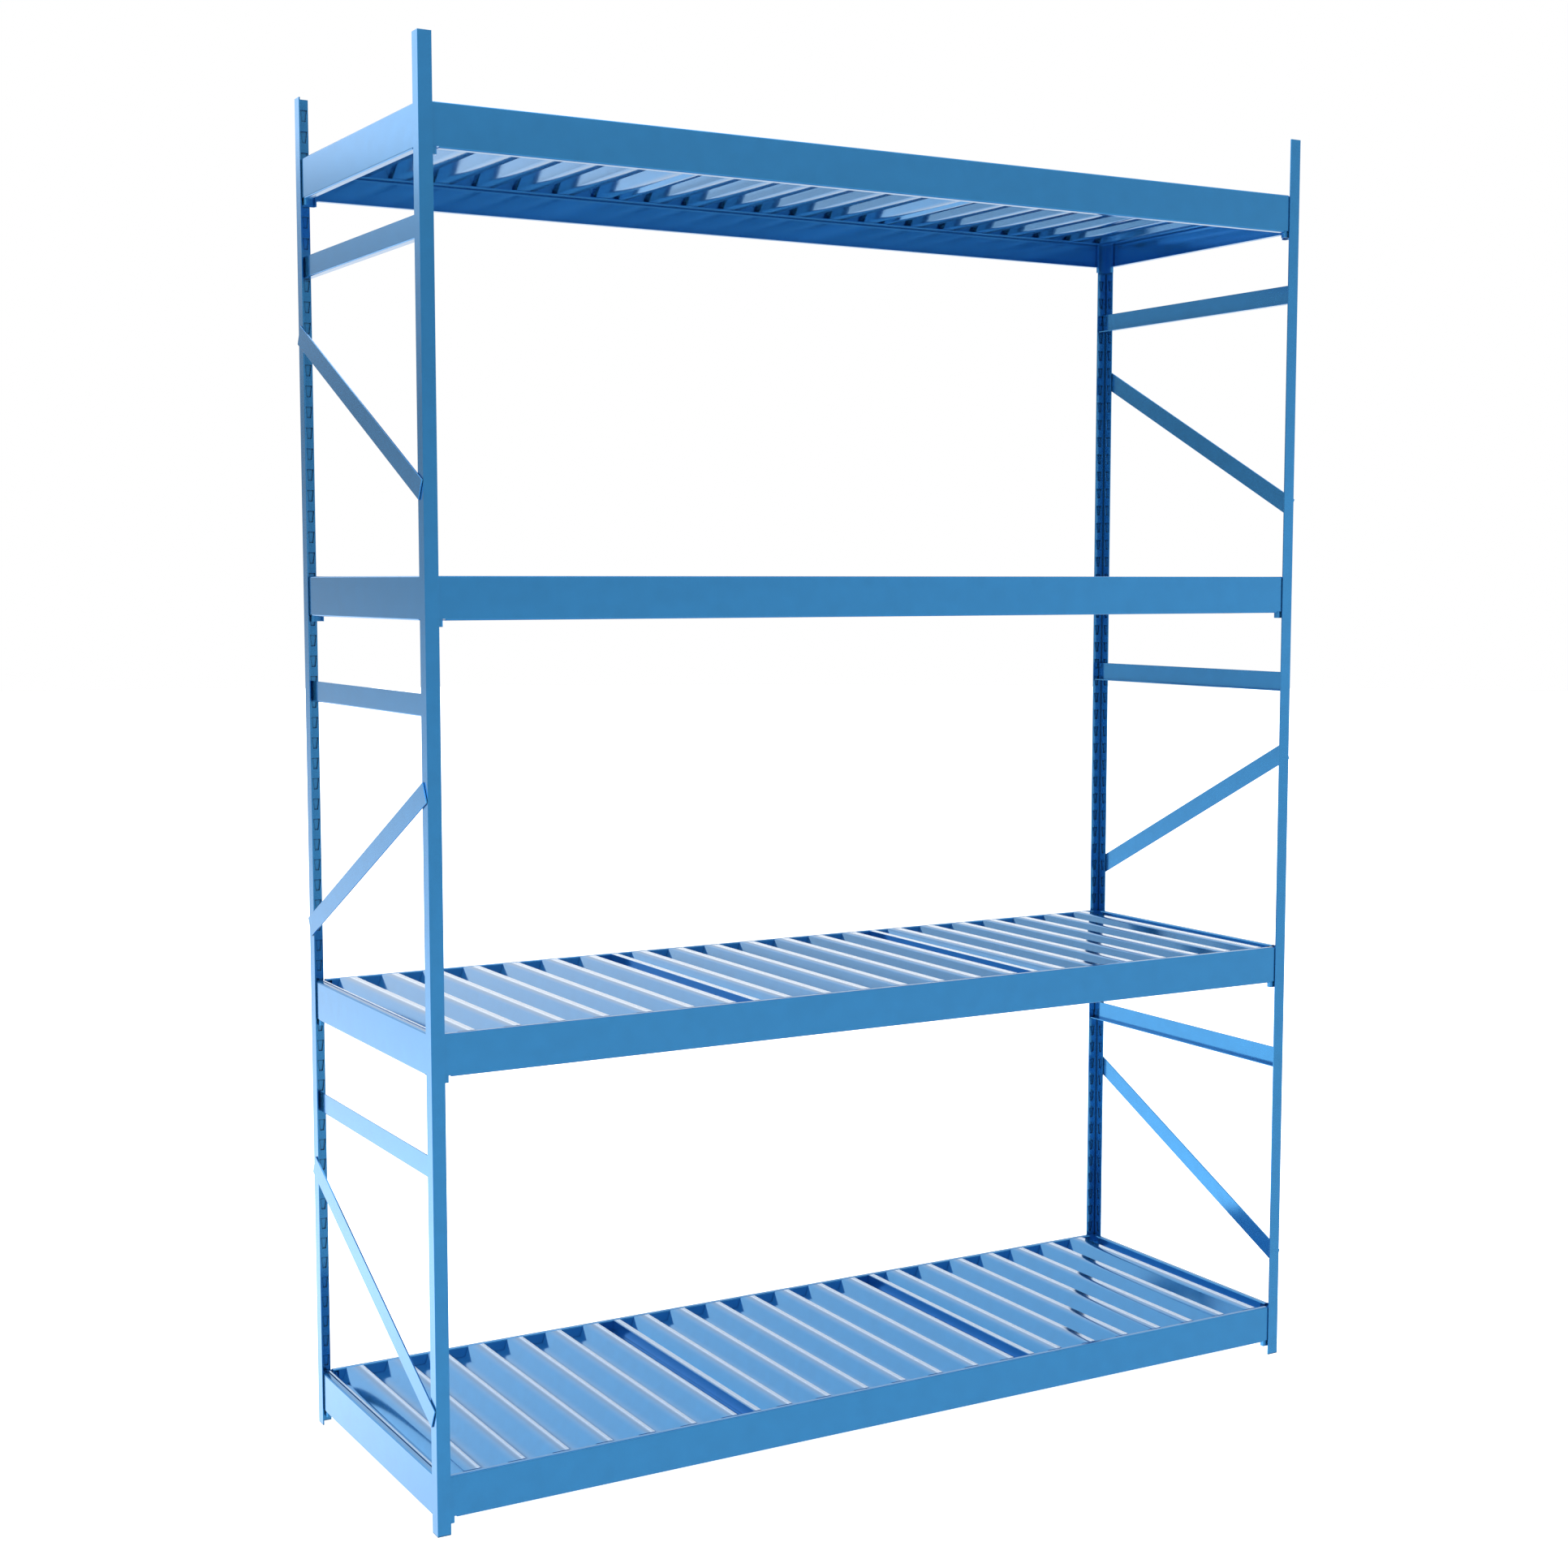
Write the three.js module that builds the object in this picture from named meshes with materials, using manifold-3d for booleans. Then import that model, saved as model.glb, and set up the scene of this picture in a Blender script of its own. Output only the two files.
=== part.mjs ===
// Free-standing bulk storage rack: four slotted angle posts, four shelf levels, braced ends.
// Millimetres, +Z up, X across the width, Y along the depth (front at -Y), floor at Z = 0.
import * as THREE from "three";
import { mergeVertices, mergeGeometries } from "three/addons/utils/BufferGeometryUtils.js";
import Module from "manifold-3d";

const wasm = await Module();
wasm.setup();

// Overall
const WIDTH = 1828.8; // across the outer faces of the posts
const DEPTH = 609.6;
const HEIGHT = 2438.4;
const GAP = 0.3; // clearance between pieces that touch

// Posts
const POST_LEG = 24;
const POST_T = 2.5;
const SLOT_PITCH = 37.6;
const SLOT_HEIGHT = 20.6;
const SLOT_TOP_WIDTH = 12.7;
const SLOT_BOTTOM_WIDTH = 6.9;
const SLOT_DEPTH = 2;
const SLOT_FIRST = 18.3; // post top down to the top of the first slot
const SLOT_END_MARGIN = 10; // least material left below the last slot
const SLOT_CENTRE = 15.5; // outer corner of the post to the middle of a slot

// Shelf levels
const LEVELS = 4;
const LEVEL_LOWEST = 99.1; // floor to the top of the lowest beams
const LEVEL_HIGHEST_DROP = 107.6; // post top down to the top of the highest beams

// Beams, one folded section on all four sides
const BEAM_HEIGHT = 71.7;
const BEAM_T = 1.9;
const BEAM_TOP_REACH = 14; // post face to the inner edge of the top flange
const BEAM_BOTTOM_REACH = 16.5;
const LEDGE_REACH = 29;
const BRACKET_END = 33; // post corner to the free end of a corner bracket
const BEAM_TOP_COPE = POST_LEG + 1; // post corner to the start of the top flange
const BEAM_COPE = BRACKET_END + 3; // post corner to the start of the ledge and bottom flange

// Corner brackets
const BRACKET_T = 2.5;
const BRACKET_LIP = 9; // depth of the return lips
const BRACKET_BELOW = 10.1; // how far a bracket hangs below the beams
const BRACKET_DROP = 5; // beam top down to the bracket top

// Deck panels
const PANELS = 3;
const DECK_DEPTH = 21.6;
const DECK_T = 1.5;
const DECK_CLEAR = 0.7; // panel edge to the beams beside it
const PANEL_CLEAR = 0.7; // between neighbouring panels
const PANEL_LAP = 34.6; // last rib of a panel to the next panel, spanned by its low flange
const RIBS = 7;
const RIB_TOP = 32;
const WALL_RUN = 7.5; // sideways run of a sloping rib wall
const LIP = 14; // raised edge at the left of a panel
const LIP_TRIM = 9.7; // cut off the first panel's lip to clear the left beam
const FIRST_OPENING = 32.5; // lip to the first rib

// End frames
const CROSSBAR_HEIGHT = 37.5;
const CROSSBAR_T = 2;
const CROSSBAR_SETBACK = 7.6; // post face to the outer face of the crossbar web
const CROSSBAR_DEPTH = 14.5; // how far the lower flange reaches inwards
const CROSSBAR_LOWEST_DROP = 136.3; // bottom of the second level's beams down to the lowest crossbar
const CROSSBAR_HIGHEST_DROP = 100.1; // bottom of the top level's beams down to the highest crossbar
const BAR_WIDTH = 36;
const BAR_T = 2.5;
const BAR_DROP = 0.5; // rise of a diagonal over its run
const BAR_BELOW_CROSSBAR = 287; // top of a crossbar down to the middle of the bar below it
const TURNED_BAR_LOWER = 19; // the bars that fall towards the rear sit this much lower

const paint = { color: 0x2f7fc4, metalness: 0.1, roughness: 0.35 };
const deckPaint = { color: 0x3d8ccc, metalness: 0.1, roughness: 0.35 };

// A closed prism over an anticlockwise outline. The outline lies in XY, YZ or ZX for axis z, x or y.
function prism(outline, from, to, axis = "z") {
  const n = outline.length;
  const put = {
    z: (a, b, c) => [a, b, c],
    x: (a, b, c) => [c, a, b],
    y: (a, b, c) => [b, c, a],
  }[axis];
  const position = [];
  for (const level of [from, to]) for (const [a, b] of outline) position.push(...put(a, b, level));
  const index = [];
  const flat = outline.map(([a, b]) => new THREE.Vector2(a, b));
  for (const [i, j, k] of THREE.ShapeUtils.triangulateShape(flat, [])) {
    index.push(k, j, i, n + i, n + j, n + k);
  }
  for (let i = 0; i < n; i++) {
    const j = (i + 1) % n;
    index.push(i, j, n + j, i, n + j, n + i);
  }
  const made = new THREE.BufferGeometry();
  made.setAttribute("position", new THREE.Float32BufferAttribute(position, 3));
  made.setIndex(index);
  return made;
}

function box(x0, x1, y0, y1, z0, z1) {
  return prism([[x0, y0], [x1, y0], [x1, y1], [x0, y1]], z0, z1);
}

function solidOf(geometry) {
  const merged = mergeVertices(geometry, 1e-4);
  return new wasm.Manifold(
    new wasm.Mesh({
      numProp: 3,
      vertProperties: merged.attributes.position.array,
      triVerts: new Uint32Array(merged.index.array),
    }),
  );
}

function geometryOf(solid) {
  const mesh = solid.getMesh();
  const made = new THREE.BufferGeometry();
  made.setAttribute("position", new THREE.Float32BufferAttribute(mesh.vertProperties, 3));
  made.setIndex(Array.from(mesh.triVerts));
  return made;
}

function joined(geometries) {
  return geometries.map(solidOf).reduce((all, one) => all.add(one));
}

// A copy moved by a matrix, with its faces turned back outwards when the matrix mirrors.
function moved(geometry, matrix) {
  const copy = geometry.clone().applyMatrix4(matrix);
  if (matrix.determinant() < 0) {
    const index = copy.index.array;
    for (let i = 0; i < index.length; i += 3) [index[i + 1], index[i + 2]] = [index[i + 2], index[i + 1]];
  }
  return copy;
}

const rack = new THREE.Group();
rack.name = "bulk_storage_rack";

function addPiece(name, geometry, look = paint) {
  const shown = geometry.toNonIndexed();
  shown.computeVertexNormals();
  const mesh = new THREE.Mesh(shown, new THREE.MeshStandardMaterial(look));
  mesh.name = name;
  rack.add(mesh);
}

// Evenly spaced values from low to high.
function spread(count, low, high) {
  return Array.from({ length: count }, (_, i) => low + ((high - low) * i) / (count - 1));
}

const levelTops = spread(LEVELS, LEVEL_LOWEST, HEIGHT - LEVEL_HIGHEST_DROP);
const beamBottoms = levelTops.map((top) => top - BEAM_HEIGHT);
const crossbarTops = spread(
  LEVELS - 1,
  beamBottoms[1] - CROSSBAR_LOWEST_DROP,
  beamBottoms[LEVELS - 1] - CROSSBAR_HIGHEST_DROP,
);

// Corner pieces are drawn with the outer post corner at the origin and the rack towards +X and +Y.
const corners = [
  { name: "front_left", x: -1, y: -1 },
  { name: "front_right", x: 1, y: -1 },
  { name: "rear_left", x: -1, y: 1 },
  { name: "rear_right", x: 1, y: 1 },
];

function cornerMatrix(corner, z) {
  return new THREE.Matrix4()
    .makeTranslation((corner.x * WIDTH) / 2, (corner.y * DEPTH) / 2, z)
    .scale(new THREE.Vector3(-corner.x, -corner.y, 1));
}

// Posts: an angle with keystone pockets pressed into the inner face of each leg.
function slotOutline(top) {
  const bottom = top - SLOT_HEIGHT;
  return [
    [SLOT_CENTRE - SLOT_BOTTOM_WIDTH / 2, bottom],
    [SLOT_CENTRE + SLOT_BOTTOM_WIDTH / 2, bottom],
    [SLOT_CENTRE + SLOT_TOP_WIDTH / 2, top],
    [SLOT_CENTRE - SLOT_TOP_WIDTH / 2, top],
  ];
}

const postOutline = [
  [0, 0], [POST_LEG, 0], [POST_LEG, POST_T], [POST_T, POST_T], [POST_T, POST_LEG], [0, POST_LEG],
];
const pocketFrom = POST_T - SLOT_DEPTH;
const pockets = [];
for (let top = HEIGHT - SLOT_FIRST; top - SLOT_HEIGHT > SLOT_END_MARGIN; top -= SLOT_PITCH) {
  const outline = slotOutline(top);
  pockets.push(prism(outline, pocketFrom, POST_T + 1, "x"));
  const turned = outline.map(([across, up]) => [up, across]).reverse();
  pockets.push(prism(turned, pocketFrom, POST_T + 1, "y"));
}
const post = geometryOf(solidOf(prism(postOutline, 0, HEIGHT)).subtract(solidOf(mergeGeometries(pockets))));
for (const corner of corners) addPiece("post_" + corner.name, moved(post, cornerMatrix(corner, 0)));

// Corner brackets: a folded angle with return lips, behind the beam webs.
const webFrom = POST_T + GAP;
const webTo = webFrom + BEAM_T;
const bracketFrom = webTo + GAP;
const bracketTo = bracketFrom + BRACKET_T;
const lipTo = bracketFrom + BRACKET_LIP;
const bracketOutline = [
  [bracketFrom, bracketFrom], [BRACKET_END, bracketFrom], [BRACKET_END, lipTo],
  [BRACKET_END - BRACKET_T, lipTo], [BRACKET_END - BRACKET_T, bracketTo], [bracketTo, bracketTo],
  [bracketTo, BRACKET_END - BRACKET_T], [lipTo, BRACKET_END - BRACKET_T], [lipTo, BRACKET_END],
  [bracketFrom, BRACKET_END],
];
const bracket = prism(bracketOutline, -BEAM_HEIGHT - BRACKET_BELOW, -BRACKET_DROP);

// Beams: drawn along X with the outer face of the posts at Y = 0 and the top at Z = 0.
function beam(length) {
  const half = length / 2;
  const top = half - BEAM_TOP_COPE;
  const low = half - BEAM_COPE;
  const ledgeTop = -DECK_DEPTH - GAP;
  return geometryOf(
    joined([
      box(-half + webTo + GAP, half - webTo - GAP, webFrom, webTo, -BEAM_HEIGHT, 0),
      box(-top, top, webFrom, BEAM_TOP_REACH, -BEAM_T, 0),
      box(-low, low, BEAM_TOP_REACH - BEAM_T, BEAM_TOP_REACH, ledgeTop - BEAM_T, 0),
      box(-low, low, BEAM_TOP_REACH - BEAM_T, LEDGE_REACH, ledgeTop - BEAM_T, ledgeTop),
      box(-low, low, webFrom, BEAM_BOTTOM_REACH, -BEAM_HEIGHT, -BEAM_HEIGHT + BEAM_T),
    ]),
  );
}

const longBeam = beam(WIDTH);
const endBeam = beam(DEPTH);
const sides = [
  { name: "front", piece: longBeam, turn: 0, reach: DEPTH },
  { name: "rear", piece: longBeam, turn: Math.PI, reach: DEPTH },
  { name: "left", piece: endBeam, turn: -Math.PI / 2, reach: WIDTH },
  { name: "right", piece: endBeam, turn: Math.PI / 2, reach: WIDTH },
];

// Deck panels: ribbed sheet with its ribs running front to back.
const firstEdge = BEAM_TOP_REACH + DECK_CLEAR - LIP_TRIM;
const panelPitch = (WIDTH - BEAM_TOP_REACH - DECK_CLEAR + PANEL_CLEAR - firstEdge) / PANELS;
const lastRib = panelPitch - PANEL_LAP;
const ribPitch = (lastRib - RIB_TOP - FIRST_OPENING - LIP) / (RIBS - 1);

// The upper side of a panel, left to right, from its left edge at X = trim.
function panelOutline(trim) {
  const floor = DECK_T - DECK_DEPTH;
  const upper = [[trim, -DECK_DEPTH], [trim, 0], [LIP, 0], [LIP + WALL_RUN, floor]];
  for (let i = RIBS - 1; i >= 0; i--) {
    const right = lastRib - i * ribPitch;
    const left = right - RIB_TOP;
    upper.push([left - WALL_RUN, floor], [left, 0], [right, 0], [right + WALL_RUN, floor]);
  }
  upper.push([panelPitch - PANEL_CLEAR, floor]);
  return upper;
}

// The under side of a sheet whose upper side is an open line of points.
function underside(line, thickness) {
  const below = [];
  for (let i = 0; i < line.length; i++) {
    const normals = [];
    for (const [from, to] of [[i - 1, i], [i, i + 1]]) {
      if (from < 0 || to >= line.length) continue;
      const x = line[to][0] - line[from][0];
      const z = line[to][1] - line[from][1];
      const long = Math.hypot(x, z);
      normals.push([z / long, -x / long]);
    }
    const [first, last] = [normals[0], normals[normals.length - 1]];
    const sum = [first[0] + last[0], first[1] + last[1]];
    const scale = (2 * thickness) / (sum[0] ** 2 + sum[1] ** 2);
    below.push([line[i][0] + sum[0] * scale, line[i][1] + sum[1] * scale]);
  }
  return below;
}

function panel(trim) {
  const upper = panelOutline(trim);
  const under = underside(upper, DECK_T);
  const outline = [...upper, ...under.reverse()].map(([x, z]) => [z, x]);
  const half = DEPTH / 2 - BEAM_TOP_REACH - DECK_CLEAR;
  return prism(outline, -half, half, "y");
}

const panelPieces = spread(PANELS, 0, PANELS - 1).map((p) => panel(p ? 0 : LIP_TRIM));

levelTops.forEach((top, i) => {
  const level = "level" + (i + 1);
  for (const side of sides) {
    const matrix = new THREE.Matrix4()
      .makeRotationZ(side.turn)
      .multiply(new THREE.Matrix4().makeTranslation(0, -side.reach / 2, top));
    addPiece(level + "_beam_" + side.name, moved(side.piece, matrix));
  }
  for (const corner of corners) {
    addPiece(level + "_bracket_" + corner.name, moved(bracket, cornerMatrix(corner, top)));
  }
  for (let p = 0; p < PANELS; p++) {
    const x = -WIDTH / 2 + firstEdge + p * panelPitch;
    const matrix = new THREE.Matrix4().makeTranslation(x, 0, top);
    addPiece(level + "_deck_" + (p + 1), moved(panelPieces[p], matrix), deckPaint);
  }
});

// End frames: angle crossbars between the posts, flange inwards at the bottom, and flat diagonals outside.
const crossbarTo = CROSSBAR_SETBACK + CROSSBAR_DEPTH;
const crossbarHalf = DEPTH / 2 - webFrom;
const flangeTop = CROSSBAR_T - CROSSBAR_HEIGHT;
const crossbar = geometryOf(
  joined([
    box(CROSSBAR_SETBACK, CROSSBAR_SETBACK + CROSSBAR_T, -crossbarHalf, crossbarHalf, -CROSSBAR_HEIGHT, 0),
    box(CROSSBAR_SETBACK, crossbarTo, -crossbarHalf, crossbarHalf, -CROSSBAR_HEIGHT, flangeTop),
  ]),
);

function bar(rise) {
  const angle = Math.atan(rise);
  const across = BAR_WIDTH * Math.sin(Math.abs(angle));
  const length = (DEPTH - across) / Math.cos(angle);
  const corner = (along, up) => [
    along * Math.cos(angle) - up * Math.sin(angle),
    along * Math.sin(angle) + up * Math.cos(angle),
  ];
  const [l, w] = [length / 2, BAR_WIDTH / 2];
  return prism([corner(-l, -w), corner(l, -w), corner(l, w), corner(-l, w)], -BAR_T - GAP, -GAP, "x");
}

for (const side of [{ name: "left", x: -1 }, { name: "right", x: 1 }]) {
  const place = (z) =>
    new THREE.Matrix4()
      .makeTranslation((side.x * WIDTH) / 2, 0, z)
      .scale(new THREE.Vector3(-side.x, 1, 1));
  crossbarTops.forEach((top, i) => {
    const turned = i % 2 === 1;
    const middle = top - BAR_BELOW_CROSSBAR - (turned ? TURNED_BAR_LOWER : 0);
    addPiece(side.name + "_crossbar_" + (i + 1), moved(crossbar, place(top)));
    addPiece(side.name + "_diagonal_" + (i + 1), moved(bar(turned ? -BAR_DROP : BAR_DROP), place(middle)));
  });
}

export default rack;
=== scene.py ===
import math

import bmesh
import bpy
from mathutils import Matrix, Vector


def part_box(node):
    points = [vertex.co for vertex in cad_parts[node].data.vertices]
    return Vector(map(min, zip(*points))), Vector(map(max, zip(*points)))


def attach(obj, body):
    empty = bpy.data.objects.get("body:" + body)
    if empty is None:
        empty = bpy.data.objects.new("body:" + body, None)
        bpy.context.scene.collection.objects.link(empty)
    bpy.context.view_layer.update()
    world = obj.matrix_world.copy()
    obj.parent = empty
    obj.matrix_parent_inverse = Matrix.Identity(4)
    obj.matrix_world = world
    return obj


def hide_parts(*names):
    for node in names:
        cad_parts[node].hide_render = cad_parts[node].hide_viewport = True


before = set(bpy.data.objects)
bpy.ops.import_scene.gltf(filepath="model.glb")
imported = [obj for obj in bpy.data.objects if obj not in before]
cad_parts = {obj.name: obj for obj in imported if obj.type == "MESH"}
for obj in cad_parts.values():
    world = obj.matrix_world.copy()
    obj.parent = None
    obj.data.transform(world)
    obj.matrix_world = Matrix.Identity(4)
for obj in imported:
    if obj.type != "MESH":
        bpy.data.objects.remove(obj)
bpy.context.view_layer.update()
scene = bpy.context.scene

# Metres, +Z up, X across the width, front at -Y.
LEVELS = (1, 2, 3, 4)
PANELS = (1, 2, 3)
BARS = (1, 2, 3)
CORNERS = ("front_left", "front_right", "rear_left", "rear_right")
INWARDS = {
    "front": Vector((0, 1, 0)),
    "rear": Vector((0, -1, 0)),
    "left": Vector((1, 0, 0)),
    "right": Vector((-1, 0, 0)),
}
UP = Vector((0, 0, 1))
BODY = "rack_frame"


# ---------------------------------------------------------------- node helpers

def remap(tree, value, low, high, to_low=0.0, to_high=1.0):
    """The value with low to high stretched to to_low to to_high."""
    made = tree.nodes.new("ShaderNodeMapRange")
    made.inputs["From Min"].default_value = low
    made.inputs["From Max"].default_value = high
    made.inputs["To Min"].default_value = to_low
    made.inputs["To Max"].default_value = to_high
    tree.links.new(value, made.inputs["Value"])
    return made.outputs["Result"]


def mix(tree, first, second, blend_type="MIX"):
    """The node that combines two colours."""
    made = tree.nodes.new("ShaderNodeMix")
    made.data_type = "RGBA"
    made.blend_type = blend_type
    tree.links.new(first, made.inputs["A"])
    tree.links.new(second, made.inputs["B"])
    return made


def noise(tree, place, scale, detail, roughness=0.5):
    """Noise over the piece's own coordinates, with scale features to a metre."""
    made = tree.nodes.new("ShaderNodeTexNoise")
    made.inputs["Scale"].default_value = scale
    made.inputs["Detail"].default_value = detail
    made.inputs["Roughness"].default_value = roughness
    tree.links.new(place, made.inputs["Vector"])
    return made.outputs["Fac"]


# ---------------------------------------------------------------- paint

BLUE = (0.036, 0.262, 0.585)
METALLIC = 0.82
COAT_ROUGHNESS = 0.1
NOISE_LOW, NOISE_HIGH = 0.3, 0.7       # the range that most of a noise lies in
DRIFT_SCALE = 38
DRIFT_DARK, DRIFT_LIGHT = 0.965, 1.035
SMUDGE_SCALE = 90
SMUDGE_GLOSSY, SMUDGE_DULL = 0.9, 1.12
PEEL_SCALE = 700
PEEL_STRENGTH = 0.012
PEEL_HEIGHT = 0.0002
SHADE_FULL, SHADE_CLEAR = 0.5, 0.95      # how open a place is where the painted shade is full, and where it ends
SHADE_DARKEST = 0.05
SHADE_SAMPLES = 8


def drifting(tree, place, color):
    """The colour with soft lighter and darker parts."""
    tint = tree.nodes.new("ShaderNodeValToRGB")
    stops = tint.color_ramp.elements
    for stop, position, level in ((stops[0], NOISE_LOW, DRIFT_DARK), (stops[1], NOISE_HIGH, DRIFT_LIGHT)):
        stop.position = position
        stop.color = (*[c * level for c in color], 1)
    tree.links.new(noise(tree, place, DRIFT_SCALE, 5), tint.inputs["Fac"])
    return tint.outputs["Color"]


def painted_corner_shade(tree, shade, distance):
    """The colour, with painted shade darkening the corners within the distance."""
    corner = tree.nodes.new("ShaderNodeAmbientOcclusion")
    corner.inputs["Distance"].default_value = distance
    corner.samples = SHADE_SAMPLES
    darkness = remap(tree, corner.outputs["AO"], SHADE_FULL, SHADE_CLEAR, SHADE_DARKEST)
    shade_multiply = mix(tree, shade, darkness, "MULTIPLY")
    shade_multiply.inputs["Factor"].default_value = 1
    return shade_multiply.outputs["Result"]


def orange_peel(tree, place):
    """The faint waves of sprayed paint, as a normal."""
    bump = tree.nodes.new("ShaderNodeBump")
    bump.inputs["Strength"].default_value = PEEL_STRENGTH
    bump.inputs["Distance"].default_value = PEEL_HEIGHT
    tree.links.new(noise(tree, place, PEEL_SCALE, 1), bump.inputs["Height"])
    return bump.outputs["Normal"]


def paint(name, color, roughness=0.15, coat=0.35, shade_reach=0.0):
    """Gloss enamel on sheet steel: drifts of colour and gloss, and orange peel. Given a reach,
    painted shade from ambient occlusion darkens the corners within that distance."""
    made = bpy.data.materials.new(name)
    made.use_nodes = True
    tree = made.node_tree
    shader = tree.nodes["Principled BSDF"]
    place = tree.nodes.new("ShaderNodeTexCoord").outputs["Object"]

    shade = drifting(tree, place, color)
    # Painted shade: ambient occlusion darkens the colour in corners and recesses.
    if shade_reach:
        shade = painted_corner_shade(tree, shade, shade_reach)
    tree.links.new(shade, shader.inputs["Base Color"])
    smudge = noise(tree, place, SMUDGE_SCALE, 6, 0.6)
    gloss = remap(tree, smudge, NOISE_LOW, NOISE_HIGH, roughness * SMUDGE_GLOSSY, roughness * SMUDGE_DULL)
    tree.links.new(gloss, shader.inputs["Roughness"])
    tree.links.new(orange_peel(tree, place), shader.inputs["Normal"])

    shader.inputs["Metallic"].default_value = METALLIC
    shader.inputs["Coat Weight"].default_value = coat
    shader.inputs["Coat Roughness"].default_value = COAT_ROUGHNESS
    return made


frame_paint = paint("frame_paint", BLUE)
# The posts' paint carries painted shade in the corners and recesses of their slots.
post_paint = paint("post_paint", BLUE, shade_reach=0.004)
deck_paint = paint("deck_paint", BLUE, roughness=0.14, coat=0.5)


def dress(obj, material):
    obj.data.materials.clear()
    obj.data.materials.append(material)


# ---------------------------------------------------------------- folded sheet

ARC_STEPS = 6              # straight strips in one fold
CUT_EDGE = 0.00025         # width of the bevel on the sheet's cut edges
CREASE = 40                # degrees, the least turn that is shaded as an edge
LEAST_BEVEL_ANGLE = 60     # degrees


def rounded(points, radii):
    """The open line through the points, with each inner corner turned into an arc. radii is one
    number, or one for each inner corner."""
    line = [Vector(points[0])]
    for i in range(1, len(points) - 1):
        here = Vector(points[i])
        back = (Vector(points[i - 1]) - here).normalized()
        on = (Vector(points[i + 1]) - here).normalized()
        half = back.angle(on) / 2
        radius = radii[i - 1] if isinstance(radii, list) else radii
        cut = radius / math.tan(half)
        centre = here + (back + on).normalized() * (radius / math.sin(half))
        start = here + back * cut - centre
        end = here + on * cut - centre
        turn = start.angle(end)
        for step in range(ARC_STEPS + 1):
            f = step / ARC_STEPS
            point = (start * math.sin((1 - f) * turn) + end * math.sin(f * turn)) / math.sin(turn)
            line.append(centre + point)
    line.append(Vector(points[-1]))
    return line


def offset(line, thickness):
    """The line moved by the sheet's thickness to its right."""
    moved = []
    for i, here in enumerate(line):
        normals = []
        for a, b in ((i - 1, i), (i, i + 1)):
            if a < 0 or b >= len(line):
                continue
            along = (line[b] - line[a]).normalized()
            normals.append(Vector((along.y, -along.x)))
        total = normals[0] + normals[-1]
        moved.append(here + total * (2 * thickness / total.length_squared))
    return moved


def to_the_end(middle):
    """The reach of a sheet whose strips all run its whole length."""
    return 0


def folded(name, line, thickness, stops, place, reach=to_the_end, crease=CREASE):
    """A folded sheet. line is its section, and stops are the lengths where a strip of it may end,
    shortest first. reach says, from the middle of a strip, how many stops it ends short of the
    longest. place turns a section point and a length into a point of the rack."""
    sides = (line, offset(line, thickness))
    lengths = sorted([-s for s in stops] + list(stops))
    count = len(lengths) - 1
    strips = len(line) - 1

    def has(i, k):
        if i < 0 or i >= strips or k < 0 or k >= count:
            return False
        inset = reach((line[i] + line[i + 1]) / 2)
        return inset <= k < count - inset

    mesh = bmesh.new()
    corners = {}

    def corner(key):
        if key not in corners:
            i, side, k = key
            corners[key] = mesh.verts.new(place(sides[side][i], lengths[k]))
        return corners[key]

    def face(*keys):
        mesh.faces.new([corner(key) for key in keys])

    for i in range(strips):
        for k in range(count):
            if not has(i, k):
                continue
            n, m = i + 1, k + 1
            face((i, 0, k), (n, 0, k), (n, 0, m), (i, 0, m))
            face((i, 1, m), (n, 1, m), (n, 1, k), (i, 1, k))
            if not has(i - 1, k):
                face((i, 0, m), (i, 1, m), (i, 1, k), (i, 0, k))
            if not has(i + 1, k):
                face((n, 0, k), (n, 1, k), (n, 1, m), (n, 0, m))
            if not has(i, k - 1):
                face((i, 0, k), (i, 1, k), (n, 1, k), (n, 0, k))
            if not has(i, k + 1):
                face((n, 0, m), (n, 1, m), (i, 1, m), (i, 0, m))
    bmesh.ops.recalc_face_normals(mesh, faces=mesh.faces)
    return finished(name, mesh, crease)


def finished(name, mesh, crease):
    """The mesh as an object, smooth up to the crease, with its cut edges bevelled."""
    data = bpy.data.meshes.new(name)
    mesh.to_mesh(data)
    mesh.free()
    for face in data.polygons:
        face.use_smooth = True
    data.set_sharp_from_angle(angle=math.radians(crease))
    made = bpy.data.objects.new(name, data)
    scene.collection.objects.link(made)
    edges = made.modifiers.new("edges", "BEVEL")
    edges.width = CUT_EDGE
    edges.segments = 2
    edges.limit_method = "ANGLE"
    edges.angle_limit = math.radians(max(LEAST_BEVEL_ANGLE, crease))
    normals = made.modifiers.new("normals", "WEIGHTED_NORMAL")
    normals.keep_sharp = True
    return made


def outer_top(low, high, inwards):
    """The top of the box from low to high, on the sides that face away from inwards."""
    x = low.x if inwards.x > 0 else high.x
    y = low.y if inwards.y > 0 else high.y
    return Vector((x * abs(inwards.x), y * abs(inwards.y), high.z))


def along_side(low, high, inwards):
    """Places a section on the outer side of the box: its x runs inwards and its y up."""
    start = outer_top(low, high, inwards)
    run = Vector((abs(inwards.y), abs(inwards.x), 0))

    def place(section, length):
        return start + inwards * section.x + run * length + UP * section.y

    return place


def stand_for(piece, node, body, material):
    dress(piece, material)
    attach(piece, body)
    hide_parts(node)


# ---------------------------------------------------------------- beams

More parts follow.
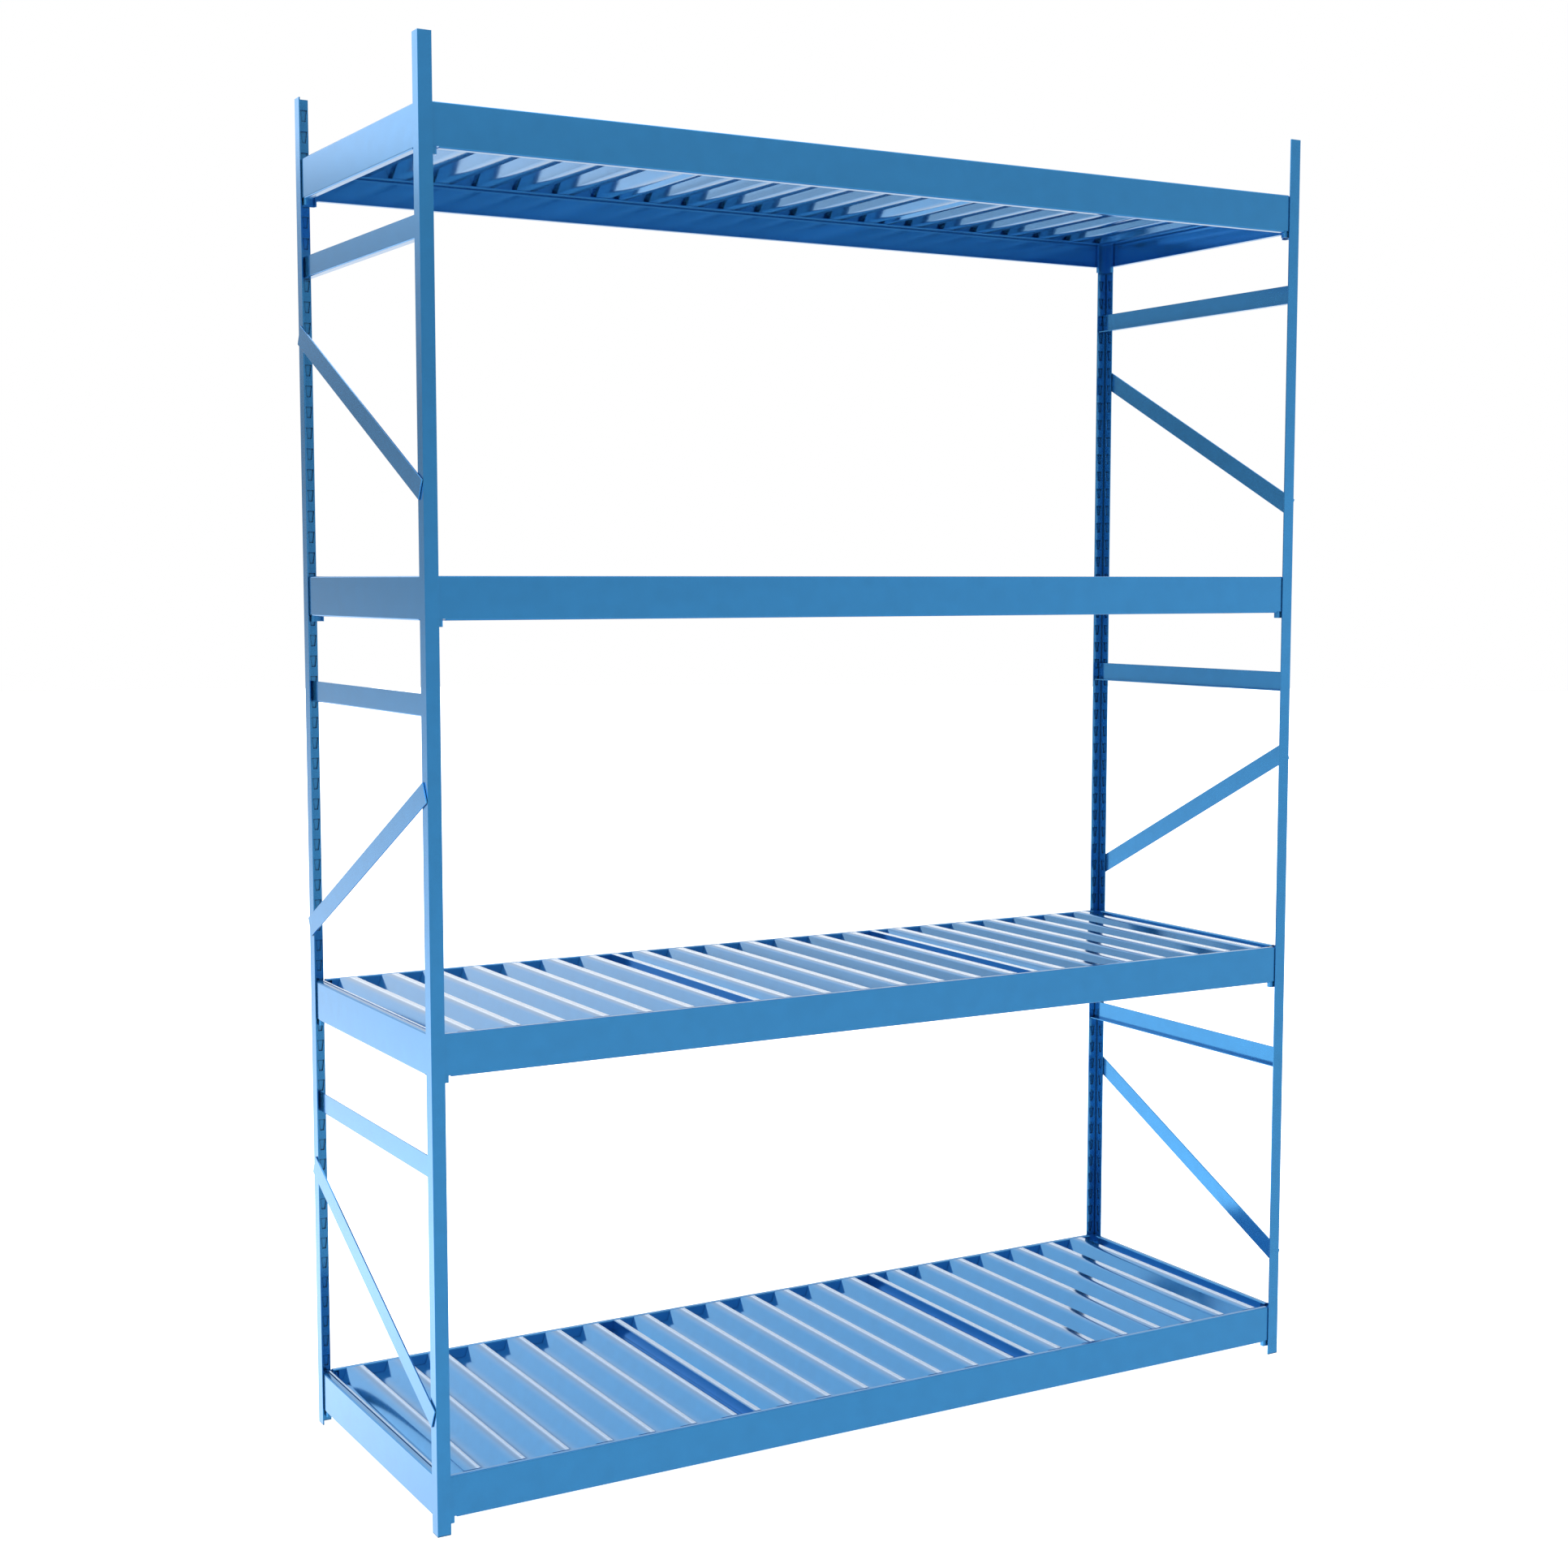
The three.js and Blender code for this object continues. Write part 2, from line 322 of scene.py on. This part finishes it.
BEAM_T = 0.0019
BEAM_FOLD = 0.0026
RISER_FOLD = 0.0008            # riser to ledge
BEAM_SETBACK = 0.0028          # post face to the web
BEAM_TOP = 0.014 - BEAM_SETBACK        # web to the inner edge of the top flange
BEAM_BOTTOM = 0.0165 - BEAM_SETBACK
LEDGE_DROP = 0.0219            # beam top to the ledge
WEB_END = 0.005                # post corner to the end of the web
TOP_COPE = 0.025               # post corner to the start of the top flange
LOW_COPE = 0.036               # post corner to the start of the ledge and bottom flange
WEB_DEPTH = 0.0002             # a strip nearer the web face than this is part of the web
FOLD_ZONE = 0.003              # height of the fold at the beam's top or bottom


def beam_section(height, depth):
    """From the bottom flange's edge, up the web and over to the ledge's edge."""
    points = [(BEAM_BOTTOM, -height), (0, -height), (0, 0), (BEAM_TOP, 0), (BEAM_TOP, -LEDGE_DROP),
              (depth, -LEDGE_DROP)]
    return rounded(points, [BEAM_FOLD, BEAM_FOLD, BEAM_FOLD, RISER_FOLD])


def beam(level, side):
    node = "level%d_beam_%s" % (level, side)
    low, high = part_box(node)
    size = high - low
    inwards = INWARDS[side]
    depth, length = (size.y, size.x) if inwards.y else (size.x, size.y)
    post_corner = length / 2 + WEB_END
    stops = [post_corner - LOW_COPE, post_corner - TOP_COPE, length / 2]

    def reach(middle):
        if middle.x < WEB_DEPTH and middle.y > FOLD_ZONE - size.z:
            return 0
        return 1 if middle.y > -FOLD_ZONE else 2

    place = along_side(low, high, inwards)
    piece = folded(node + "_sheet", beam_section(size.z, depth), BEAM_T, stops, place, reach)
    stand_for(piece, node, BODY, frame_paint)


for level in LEVELS:
    for side in INWARDS:
        beam(level, side)


# ---------------------------------------------------------------- corner brackets

BRACKET_T = 0.0025
BRACKET_LIP = 0.009
BRACKET_FOLD = 0.0032


def bracket(level, corner):
    """A bracket's section lies flat, and it is as long as the bracket is high."""
    node = "level%d_bracket_%s" % (level, corner)
    low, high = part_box(node)
    arm = high.x - low.x
    section = rounded(
        [(arm, BRACKET_LIP), (arm, 0), (0, 0), (0, arm), (BRACKET_LIP, arm)], BRACKET_FOLD)
    inwards = Vector((1 if "left" in corner else -1, 1 if "front" in corner else -1, 0))
    start = outer_top(low, high, inwards)
    middle = (low.z + high.z) / 2

    def place(section, length):
        return Vector((start.x + inwards.x * section.x, start.y + inwards.y * section.y, middle + length))

    piece = folded(node + "_sheet", section, BRACKET_T, [(high.z - low.z) / 2], place)
    stand_for(piece, node, BODY, frame_paint)


for level in LEVELS:
    for corner in CORNERS:
        bracket(level, corner)


# ---------------------------------------------------------------- deck panels

DECK_T = 0.0015
DECK_CREASE = 75        # degrees, so the rib folds are shaded smoothly
RIBS = 7
RIB_TOP = 0.032
WALL_RUN = 0.0075       # sideways run of a sloping rib wall
LIP = 0.014             # raised edge at the left of a panel
FIRST_OPENING = 0.0325  # lip to the first rib
LOW_FLANGE = 0.0339     # last rib to the panel's right edge


def deck_section(width, depth, trim):
    """The upper side of a panel, left to right. trim is what its lip loses at the left."""
    lip = LIP - trim
    last = width - LOW_FLANGE
    pitch = (last - RIB_TOP - FIRST_OPENING - lip) / (RIBS - 1)
    floor = DECK_T - depth
    points = [(0, -depth), (0, 0), (lip, 0), (lip + WALL_RUN, floor)]
    for i in reversed(range(RIBS)):
        right = last - i * pitch
        left = right - RIB_TOP
        points += [(left - WALL_RUN, floor), (left, 0), (right, 0), (right + WALL_RUN, floor)]
    points.append((width, floor))
    return [Vector(p) for p in points]


def deck(level, number):
    node = "level%d_deck_%d" % (level, number)
    low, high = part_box(node)
    whole_low, whole_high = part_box("level%d_deck_2" % level)
    width = high.x - low.x
    trim = max(0, (whole_high.x - whole_low.x) - width)
    section = deck_section(width, high.z - low.z, trim)
    place = along_side(low, high, INWARDS["left"])
    piece = folded(node + "_sheet", section, DECK_T, [high.y], place, crease=DECK_CREASE)
    stand_for(piece, node, node + "_panel", deck_paint)


for level in LEVELS:
    for number in PANELS:
        deck(level, number)


# ---------------------------------------------------------------- crossbars

CROSSBAR_T = 0.002
CROSSBAR_FOLD = 0.0023


def crossbar(side, number):
    node = "%s_crossbar_%d" % (side, number)
    low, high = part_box(node)
    size = high - low
    section = rounded([(size.x, -size.z), (0, -size.z), (0, 0)], CROSSBAR_FOLD)
    piece = folded(node + "_sheet", section, CROSSBAR_T, [high.y], along_side(low, high, INWARDS[side]))
    stand_for(piece, node, BODY, frame_paint)


for side in ("left", "right"):
    for number in BARS:
        crossbar(side, number)


# ---------------------------------------------------------------- posts and diagonals

WELD = 0.00001
POST_EDGE = 0.0004
DIAGONAL_EDGE = 0.0006
SOFTENED_ANGLE = 50        # degrees, the least turn that is softened


def soften(obj, width):
    """Rounds the CAD node's edges a little."""
    weld = obj.modifiers.new("weld", "WELD")
    weld.merge_threshold = WELD
    edges = obj.modifiers.new("edges", "BEVEL")
    edges.width = width
    edges.segments = 2
    edges.limit_method = "ANGLE"
    edges.angle_limit = math.radians(SOFTENED_ANGLE)
    edges.harden_normals = True


for name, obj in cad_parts.items():
    if "_diagonal_" in name:
        dress(obj, frame_paint)
        soften(obj, DIAGONAL_EDGE)
    elif name.startswith("post_"):
        dress(obj, post_paint)
        soften(obj, POST_EDGE)
    elif "_deck_" in name:
        dress(obj, deck_paint)
    else:
        dress(obj, frame_paint)


# ---------------------------------------------------------------- floor

FLOOR_RADIUS = 30
FLOOR_DROP = 0.0005        # keeps the floor clear of the posts' feet
PALE = (0.9, 0.9, 0.9, 1)
WHITE = (1, 1, 1, 1)

bpy.ops.mesh.primitive_circle_add(
    vertices=96, radius=FLOOR_RADIUS, fill_type="NGON", location=(0, 0, -FLOOR_DROP))
floor = bpy.context.object
floor.name = "floor"
pale = bpy.data.materials.new("pale_floor")
pale.use_nodes = True
pale_shader = pale.node_tree.nodes["Principled BSDF"]
pale_shader.inputs["Base Color"].default_value = PALE
pale_shader.inputs["Roughness"].default_value = 0.9
pale_shader.inputs["Specular IOR Level"].default_value = 0.1
pale_shader.inputs["Emission Color"].default_value = WHITE
pale_shader.inputs["Emission Strength"].default_value = 1
floor.data.materials.append(pale)
floor.visible_glossy = False


# ---------------------------------------------------------------- backdrop and studio

# The camera sees a white backdrop. The paint reflects a studio whose front, left and right each have
# their own levels, as (degrees above the horizon, brightness).
BRIGHTEST = 2.5            # the studio's strength, of which the ramps hold shares
FRONT_LEVELS = [(-90, 0.7), (-15, 0.75), (-6, 0.62), (0, 0.56), (5, 0.42), (10, 0.42), (14, 0.62),
                (45, 0.8), (90, 0.9)]
LEFT_LEVELS = [(-90, 1.3), (-22, 1.5), (-17, 2.1), (-7, 1.15), (-1, 0.5), (4, 0.27), (7, 0.5),
               (9.4, 0.7), (10.4, 1.65), (20, 1.5), (40, 1.0), (90, 0.9)]
RIGHT_LEVELS = [(-90, 0.6), (-25, 0.95), (-12, 0.95), (-5, 1.1), (0, 1.6), (5, 1.3), (10, 0.8),
                (17, 0.85), (25, 1.05), (40, 1.1), (90, 0.9)]

world = bpy.data.worlds.new("studio")
scene.world = world
world.use_nodes = True
sky = world.node_tree
spot = sky.nodes.new("ShaderNodeTexCoord")
direction = sky.nodes.new("ShaderNodeSeparateXYZ")
sky.links.new(spot.outputs["Generated"], direction.inputs["Vector"])


def sweep(levels):
    """A curve of brightness over elevation."""
    ramp = sky.nodes.new("ShaderNodeValToRGB")
    sky.links.new(remap(sky, direction.outputs["Z"], -1, 1), ramp.inputs["Fac"])
    stops = ramp.color_ramp.elements
    while len(stops) < len(levels):
        stops.new(0.5)
    for stop, (degrees, level) in zip(stops, levels):
        stop.position = (1 + math.sin(math.radians(degrees))) / 2
    for stop, (degrees, level) in zip(stops, levels):
        share = level / BRIGHTEST
        stop.color = (share, share, share, 1)
    return ramp.outputs["Color"]


def blend(axis, low, high, first, second):
    """first where the direction's axis is below low, second where it is above high."""
    both = mix(sky, first, second)
    sky.links.new(remap(sky, direction.outputs[axis], low, high), both.inputs["Factor"])
    return both.outputs["Result"]


sides = blend("X", -0.3, 0.4, sweep(LEFT_LEVELS), sweep(RIGHT_LEVELS))
around = blend("Y", -0.93, -0.2, sweep(FRONT_LEVELS), sides)
studio = sky.nodes["Background"]
studio.inputs["Strength"].default_value = BRIGHTEST
sky.links.new(around, studio.inputs["Color"])
backdrop = sky.nodes.new("ShaderNodeBackground")
backdrop.inputs["Color"].default_value = WHITE
ray = sky.nodes.new("ShaderNodeLightPath")
choice = sky.nodes.new("ShaderNodeMixShader")
sky.links.new(ray.outputs["Is Camera Ray"], choice.inputs["Fac"])
sky.links.new(studio.outputs["Background"], choice.inputs[1])
sky.links.new(backdrop.outputs["Background"], choice.inputs[2])
sky.links.new(choice.outputs["Shader"], sky.nodes["World Output"].inputs["Surface"])


# ---------------------------------------------------------------- lights and camera

def soft_light(name, where, aim, size, power):
    """A square area light of that width, in metres, and power, in watts."""
    data = bpy.data.lights.new(name, "AREA")
    data.shape = "RECTANGLE"
    data.size = size
    data.size_y = size
    data.energy = power
    made = bpy.data.objects.new(name, data)
    made.location = where
    made.rotation_euler = (Vector(aim) - Vector(where)).to_track_quat("-Z", "Y").to_euler()
    scene.collection.objects.link(made)


soft_light("key", where=(-4.5, -3.5, 5.5), aim=(0, 0, 1), size=4, power=120)
soft_light("top", where=(0, 1.5, 6.5), aim=(0, 0, 0), size=5, power=90)

CAMERA_PLACE = (-2.2428, -3.7627, 1.5804)
CAMERA_TILT = 84.90        # degrees up from looking straight down
CAMERA_TURN = -29.915      # degrees about Z, to the right
SENSOR_WIDTH = 36          # millimetres
LENS = 52.485              # millimetres

camera = bpy.data.objects.new("camera", bpy.data.cameras.new("camera"))
scene.collection.objects.link(camera)
camera.location = CAMERA_PLACE
camera.rotation_euler = (math.radians(CAMERA_TILT), 0, math.radians(CAMERA_TURN))
camera.data.sensor_width = SENSOR_WIDTH
camera.data.lens = LENS
camera.data.clip_start = 0.1
camera.data.clip_end = 100
scene.camera = camera
scene.view_settings.view_transform = "Standard"
scene.view_settings.look = "None"
